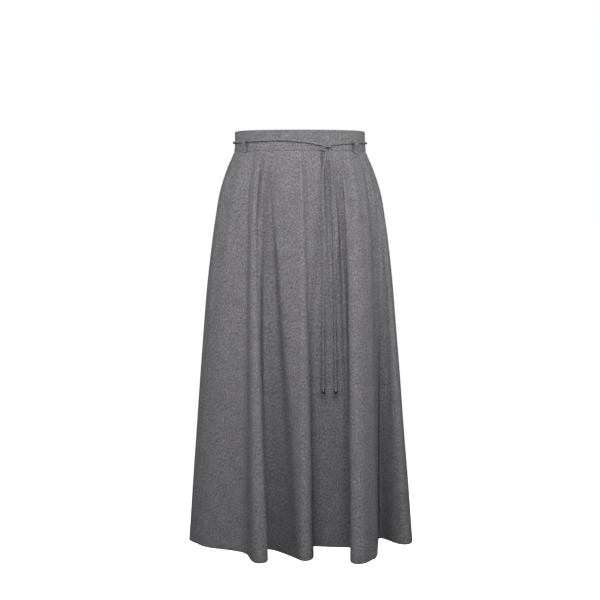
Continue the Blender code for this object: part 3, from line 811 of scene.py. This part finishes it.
def turned(name, profile, sides=28):
    """A form turned round the Z axis from (down, radius) rows, capped at both ends."""
    bpy.ops.object.select_all(action="DESELECT")
    down, radius = profile[0]
    bpy.ops.mesh.primitive_circle_add(vertices=sides, radius=radius, fill_type="NGON",
                                      location=(0, 0, -down))
    piece = bpy.context.object
    bpy.ops.object.transform_apply(location=True, rotation=True, scale=True)
    bpy.ops.object.mode_set(mode="EDIT")
    bpy.ops.mesh.select_all(action="SELECT")
    for next_down, next_radius in profile[1:]:
        bpy.ops.mesh.extrude_region_move(
            TRANSFORM_OT_translate={"value": (0, 0, down - next_down)})
        bpy.ops.transform.resize(value=(next_radius / radius, next_radius / radius, 1))
        down, radius = next_down, next_radius
    bpy.ops.mesh.select_all(action="SELECT")
    bpy.ops.mesh.normals_make_consistent(inside=False)
    bpy.ops.object.mode_set(mode="OBJECT")
    piece.name = piece.data.name = name
    smooth(piece, 35)
    return piece


def place_on(piece, point):
    """Moves a piece's mesh, so that its object stays at the origin."""
    pick(piece)
    piece.location = point
    bpy.ops.object.transform_apply(location=True, rotation=True, scale=True)


for side, middle in TAILS.items():
    tip = turned("tip_" + side, TIP_PROFILE)
    place_on(tip, middle[-1])
    sew_on(tip, METAL, "tie_tip_" + side)

# %% [markdown]

# %% [markdown]
# Each skirt panel is one sheet. At the side seams a maker presses the raw edge back inside, and at
# the hem the cloth is turned up once, so both show a rounded fold and no edge. The grid does the
# same: its last columns go round a small half circle and back along the inside, and its last rows
# turn up behind the hem. At the waist the top rows roll in under the band.

# %% Rows and columns of a panel
FOLD = 0.0006
SEAM_EDGE = FOLD + CLOTH / 2 + SEAM_GAP / 2
ALLOWANCE = 0.013
TURN_UP = 0.030
HEM_LOW = SKIRT_LENGTH - CLOTH / 2
# How the top of a panel rolls in under the waistband: drop, and depth behind the surface.
TOP_ROLL = ((0.0405, 0.0013), (0.0418, 0.0013), (0.0428, 0.0013), (0.0436, 0.0011),
            (0.0444, 0.0007), (0.0452, 0.0003))
MAIN_TOP = 0.0460
MAIN_ROWS = 92
# Under 1, the rows are closer together near the waist.
ROW_CROWDING = 0.8
PANEL_COLUMNS = 400
# More columns go where the hem turns, for each radian, and where a small fold is narrow.
TURN_WEIGHT = 0.012
CREASE_WEIGHT = 0.0009
NARROW = 2.5


def panel_columns(start, end):
    """Places along the ring from seam to seam, closest where it turns most."""
    first, last = ring_place(start), ring_place(end)
    if last <= first:
        last += RIM_POINTS
    at = np.linspace(first, last, DENSE)
    step = np.diff(ring_at(HEM["points"], at), axis=0)
    heading = np.unwrap(np.arctan2(step[:, 1], step[:, 0]))
    weight = np.linalg.norm(step, axis=1)
    weight[1:] += np.abs(np.diff(heading)) * TURN_WEIGHT
    girth = start + (at[:-1] - first) / (last - first) * ((end - start) % 360)
    for row in CREASES:
        if row.width < NARROW:
            away = (girth - row.low + 180) % 360 - 180
            weight += CREASE_WEIGHT * np.exp(-((away / (NARROW * row.width)) ** 2))
    total = np.concatenate([[0], np.cumsum(weight)])
    return np.interp(np.linspace(0, total[-1], PANEL_COLUMNS), total, at)


def seam_profile():
    """Distance from the seam and depth behind the surface, from the raw edge to the outside."""
    turn = np.linspace(math.pi, 0, 6)
    along = np.concatenate([[ALLOWANCE, ALLOWANCE / 2, SEAM_EDGE + 0.0008],
                            SEAM_EDGE - FOLD * np.sin(turn)])
    deep = np.concatenate([np.full(3, 2 * FOLD), FOLD - FOLD * np.cos(turn)])
    return along, deep


def panel_rows():
    """Rows as (drop, turn, up): down the outside, round the hem's fold, and up its inside."""
    rows = [(drop, 0.0, 0.0) for drop, _ in TOP_ROLL]
    down = np.linspace(MAIN_TOP**ROW_CROWDING, (HEM_LOW - FOLD) ** ROW_CROWDING, MAIN_ROWS)
    down = down ** (1 / ROW_CROWDING)
    rows += [(drop, 0.0, 0.0) for drop in down]
    rows += [(HEM_LOW - FOLD, turn, 0.0) for turn in np.linspace(0, math.pi, 7)[1:]]
    rows += [(HEM_LOW - FOLD, math.pi, up) for up in (0.004, 0.015, TURN_UP)]
    return rows


print(PANEL_COLUMNS, "columns and", len(panel_rows()), "rows in a panel")

# %% [markdown]
# Now the grid's points are found, row by row. The way out of the cloth comes from one step down it
# and one along it, so a leaning fold keeps its thickness. Near a side seam the sheet lies a little
# deeper, over its own folded edge, and at the hem it comes out again.

# %% A panel's cloth
SLOPE_STEP = 0.0015
FOLD_TO_CLOTH = 0.0007
# The sheet lies deeper up to this many seam allowances from the seam.
DEEP_REACH = 1.9
SETTLE = 0.08


def column_places(places, from_seam, step):
    """The ring's places under all columns: one seam's fold, the panel, and the other's fold."""
    left = from_seam / step[int(places[0]) % RIM_POINTS]
    right = from_seam / step[int(places[-1]) % RIM_POINTS]
    gap = FOLD_TO_CLOTH / step[int(places[0]) % RIM_POINTS]
    share = (places - places[0]) / (places[-1] - places[0])
    first, last = places[0] + left[-1] + gap, places[-1] - right[-1] - gap
    return np.concatenate([places[0] + left, first + share * (last - first),
                           places[-1] - right[::-1]])


def down_and_out(ring, level, at):
    """The way down the cloth for each metre of height, and the way out of it."""
    low, high = cloth_ring(level + SLOPE_STEP), cloth_ring(level - SLOPE_STEP)
    down = (ring_at(low, at) - ring_at(high, at)) / (2 * SLOPE_STEP)
    down = np.column_stack([down, np.full(len(at), -1.0)])
    along = ring_at(ring, at + 0.5) - ring_at(ring, at - 0.5)
    along = np.column_stack([along, np.zeros(len(at))])
    out = np.cross(down, along)
    return down, out / np.linalg.norm(out, axis=1, keepdims=True)


def panel_points(start, end):
    """The middle surface of a panel's cloth, with its seam allowances and its turned-up hem."""
    places = panel_columns(start, end)
    from_seam, fold_deep = seam_profile()
    edge = len(from_seam)
    layer = np.concatenate([fold_deep, np.zeros(PANEL_COLUMNS), fold_deep[::-1]])
    top_depth = dict(TOP_ROLL)
    grid = []
    for drop, turn, up in panel_rows():
        level = drop - up
        ring = cloth_ring(level)
        step = np.linalg.norm(np.roll(ring, -1, axis=0) - ring, axis=1)
        at = column_places(places, from_seam, step)
        reach = np.minimum(at - places[0], places[-1] - at) * step.mean()
        near = np.clip(DEEP_REACH - reach / ALLOWANCE, 0, 1)
        near = near * near * (3 - 2 * near)
        near[:edge] = near[-edge:] = 1.0
        centre = FOLD * (1 + 2 * near)
        radius = centre - layer
        settle = np.clip((drop - HEM_LOW + SETTLE) / SETTLE, 0, 1) ** 2
        extra = -(centre - FOLD) * settle + radius * math.sin(turn)
        deep = centre - radius * math.cos(turn) + top_depth.get(drop, 0.0)
        down, out = down_and_out(ring, level, at)
        base = np.column_stack([ring_at(ring, at), np.full(len(at), TOP_Z - level)])
        grid.append(base + down * extra[:, None] - out * (SURFACE + deep)[:, None])
    return np.array(grid)


def flannel_sheet(name, points, node):
    """A sheet of flannel over a grid of points, in the place of its solid."""
    piece = grid_sheet(name, points, laid_out(points))
    apply(piece, "SOLIDIFY", thickness=CLOTH, offset=0.0, use_even_offset=False)
    smooth(piece)
    print(name, "cloth:", round(cloth_area(points), 3), "square metres;",
          round(float(steps_along(points, 1)[-1, -1]), 3), "m along its last row")
    return sew_on(piece, WOOL, node)


HALVES = (("front", LEFT_SEAM, RIGHT_SEAM), ("back", RIGHT_SEAM, LEFT_SEAM))
PANELS = {side: flannel_sheet(side + "_panel", panel_points(start, end), "skirt_" + side)
          for side, start, end in HALVES}

# %% [markdown]
# The waistband is a straight strip, folded in half along its top edge, so it is two layers thick
# and its top is round. The grid runs up the inside, over the top and down the outside, and rolls in
# at the seam, where the skirt's own edge goes up between the layers. The thin dark line between
# band and skirt is this real gap, and not a painted one. A worn band isn't a perfect hoop, so it
# dips by a millimetre or two at the sides, and has a faint ripple of its own.

# %% Waistband
INNER_DEPTH = 0.0023
BAND_ROUND = INNER_DEPTH / 2
BAND_COLUMNS = 240
BAND_RADIUS = 0.120
BAND_LOW = 0.0440
SIDE_DIP = 0.0016
DIP_GIRTH = 92
DIP_WIDTH = 18
BAND_RIPPLES = (
    Ripple(7, 90, 0, 0.14),
    Ripple(19, -60, 0, 0.10),
    Ripple(43, 150, 0, 0.06),
)
# At each end the band is rounded off: distance from the end, and how far the cloth is drawn in.
BAND_END = ((0.0, 0.00042), (0.0001, 0.00026), (0.00025, 0.00013), (0.0005, 0.00004), (0.0009, 0.0))
HALF_GAP = 0.00065


def band_profile():
    """Drop and depth behind the surface, up the inside, over the top and down the outside."""
    rows = [(drop, INNER_DEPTH) for drop in np.linspace(BAND_LOW, 0.0030, 12)]
    top = SURFACE + BAND_ROUND
    for turn in np.linspace(0, math.pi, 11):
        rows.append((top - BAND_ROUND * math.sin(turn),
                     BAND_ROUND + BAND_ROUND * math.cos(turn)))
    rows += [(drop, 0.0) for drop in np.linspace(0.0030, 0.0398, 26)]
    rows += [(0.0406, 0.00008), (0.0411, 0.00025), (0.0415, 0.0006), (0.0417, 0.0011)]
    return rows


def band_points(start, end):
    """The middle surface of one half of the waistband."""
    if end <= start:
        end += 360
    roll, drawn_in = np.array(BAND_END).T
    roll = np.degrees(roll / BAND_RADIUS)
    half_gap = math.degrees(HALF_GAP / BAND_RADIUS)
    girths = np.concatenate([start + half_gap + roll,
                             np.linspace(start + half_gap + 1, end - half_gap - 1, BAND_COLUMNS),
                             end - half_gap - roll[::-1]])
    tuck = np.concatenate([drawn_in, np.zeros(BAND_COLUMNS), drawn_in[::-1]])
    from_front = np.abs((girths + 180) % 360 - 180)
    dip = SIDE_DIP * np.exp(-(((from_front - DIP_GIRTH) / DIP_WIDTH) ** 2))
    grid = []
    for drop, depth in band_profile():
        ripple = ripple_height(BAND_RIPPLES, girths, drop)
        pull = tuck * (1 - 2 * depth / INNER_DEPTH)
        out = np.column_stack([figure_out(girths, drop), np.zeros(len(girths))])
        height = TOP_Z - drop - dip * (1 - drop / BAND_LOW)
        point = np.column_stack([figure_point(girths, drop), height])
        grid.append(point - out * (SURFACE + depth + pull - ripple)[:, None])
    return np.array(grid)


BANDS = {side: flannel_sheet("band_" + side, band_points(start, end), "waistband_" + side)
         for side, start, end in HALVES}

# %% [markdown]
# A belt loop is a narrow strip, folded so that no raw edge shows, sewn down above and below the
# cord and bowed out over it. Its side view is a short table of distance down and height off the
# cloth. The grid follows that line, is crowned a little across, and a bevel rounds its edges.

# %% Belt loops
LOOP_WIDTH = 0.0120
LOOP_CLOTH = 0.0023
LOOP_ROUND = 0.00085
LOOP_ROWS = 34
LOOP_COLUMNS = 11
CROWN = 0.00025
# The band's own curve under a loop, as a radius.
BAND_CURVE = 0.10
Loop = namedtuple("Loop", "name girth top")
LOOPS = (
    Loop("front_left", -54.5, 0.0182),
    Loop("front_right", 54.5, 0.0204),
    Loop("back_right", 143, 0.0190),
    Loop("back_left", 225, 0.0190),
)
# Distances down from a loop's top, and heights of its underside off the band or the skirt.
LOOP_SIDE = (
    (0.0, 0.0005), (0.0012, 0.0014), (0.0024, 0.0040), (0.0042, 0.0060), (0.0085, 0.0062),
    (0.0125, 0.0048), (0.0180, 0.0022), (0.0230, 0.0010), (0.0275, 0.0009),
)


def loop_points(row):
    """The middle surface of a loop, from its top down; each row runs across it."""
    table = np.array(LOOP_SIDE)
    along = lengths_along(table)
    at = np.linspace(0, along[-1], LOOP_ROWS)
    below = smooth_between(at, along, table[:, 0])
    lift = smooth_between(at, along, table[:, 1]) + LOOP_CLOTH / 2
    aside = np.linspace(-0.5, 0.5, LOOP_COLUMNS) * (LOOP_WIDTH - 0.0004)
    crown = CROWN * (1 - (2 * aside / LOOP_WIDTH) ** 4)
    bow = aside**2 / (2 * BAND_CURVE)
    grid = []
    for down, height in zip(below, lift):
        point, out = on_garment(row.girth, row.top + down)
        side = np.array([-out[1], out[0], 0.0])
        grid.append(point + side * aside[:, None]
                    + out * (height + crown - bow - 0.0001)[:, None])
    return np.array(grid)


for row in LOOPS:
    points = loop_points(row)
    loop = grid_sheet("loop_" + row.name, points, laid_out(points))
    apply(loop, "SOLIDIFY", thickness=LOOP_CLOTH - 0.0003, offset=0.0, use_even_offset=True)
    apply(loop, "BEVEL", width=LOOP_ROUND, segments=4, limit_method="ANGLE",
          angle_limit=math.radians(55))
    smooth(loop, 60)
    sew_on(loop, WOOL, "belt_loop_" + row.name)

# %% [markdown]
# The zip is concealed in the right side seam, so only its slider and pull tab show, at the top of
# the band. Their solids already have the right shape, so they stay and get the metal finish.

# %% Zip
for name in ("zip_slider", "zip_pull"):
    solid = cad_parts[name]
    solid.data.materials.clear()
    solid.data.materials.append(METAL)

# %% [markdown]
# A flared panel is cut as part of a wide ring, so its flat area is well under its width times its
# length.

# %% The cut
print("panels and bands made")

# %% [markdown]
# The photograph has a plain white ground with no horizon and no shadow on it. So the world is white
# where the camera sees it, but only a faint grey, paler overhead, where it lights the cloth. The
# floor is plain and pale, glows just enough to match, and sends no light back up.

# %% Floor and world
FLOOR_Z = -1.06
FLOOR_RADIUS = 30
FLOOR_GLOW = 0.97
WHITE = (1.0, 1.0, 1.0, 1)
SIDE_LIGHT = 0.04
TOP_LIGHT = 0.10
bpy.ops.object.select_all(action="DESELECT")
bpy.ops.mesh.primitive_circle_add(vertices=96, radius=FLOOR_RADIUS, fill_type="NGON",
                                  location=(0, 0, FLOOR_Z))
floor = bpy.context.object
floor.name = "floor"
pale = new_material("pale_floor", Base_Color=(0.93, 0.93, 0.93, 1), Roughness=0.9,
                    Emission_Color=WHITE, Emission_Strength=FLOOR_GLOW)[0]
floor.data.materials.append(pale)
floor.visible_diffuse = False
floor.visible_glossy = False

world = bpy.data.worlds.new("white_room")
bpy.context.scene.world = world
world.use_nodes = True
sky = world.node_tree
sky.nodes.clear()
ray = node(sky, "ShaderNodeLightPath")
height = node(sky, "ShaderNodeSeparateXYZ", Vector=node(sky, "ShaderNodeTexCoord").outputs[0])
level = node(sky, "ShaderNodeMapRange", _0=height.outputs[2], _1=0.0, _2=1.0, _3=SIDE_LIGHT,
             _4=TOP_LIGHT)
room = node(sky, "ShaderNodeBackground", Color=WHITE, Strength=level.outputs[0])
ground = node(sky, "ShaderNodeBackground", Color=WHITE, Strength=1.0)
seen = node(sky, "ShaderNodeMixShader", _0=ray.outputs["Is Camera Ray"], _1=room.outputs[0],
            _2=ground.outputs[0])
node(sky, "ShaderNodeOutputWorld", Surface=seen.outputs[0])
bpy.context.scene.view_settings.view_transform = "Standard"
print("floor at", FLOOR_Z, "m, and a white world")

# %% [markdown]
# On the photographed skirt the ridges of the folds are pale, the hips are paler than the hem, and
# the hollows are dark. That is a broad soft lamp in front, a little above the waist, with a weaker
# one at each side for the flanks. An even dome of light would be simpler, but it fills the hollows
# and flattens every fold. A fourth lamp lights the back for whoever turns the skirt round.

# %% The lamps
Lamp = namedtuple("Lamp", "name place size watts")
LAMPS = (
    Lamp("key", (0.0, -1.80, 0.45), 0.95, 14.5),
    Lamp("left", (-1.69, -0.62, 0.45), 0.50, 5.0),
    Lamp("right", (1.66, -0.70, 0.45), 0.50, 6.0),
    Lamp("back", (0.30, 2.20, 0.50), 0.95, 24),
)
LAMPS_FACE = Vector((0, 0, -0.10))
SPREAD = 110

for row in LAMPS:
    bpy.ops.object.light_add(type="AREA", location=row.place,
                             rotation=facing(Vector(row.place), LAMPS_FACE))
    lamp = bpy.context.object
    lamp.name = row.name
    lamp.data.size = row.size
    lamp.data.energy = row.watts
    lamp.data.spread = math.radians(SPREAD)
print("lit by", len(LAMPS), "soft lamps and a faint fill")
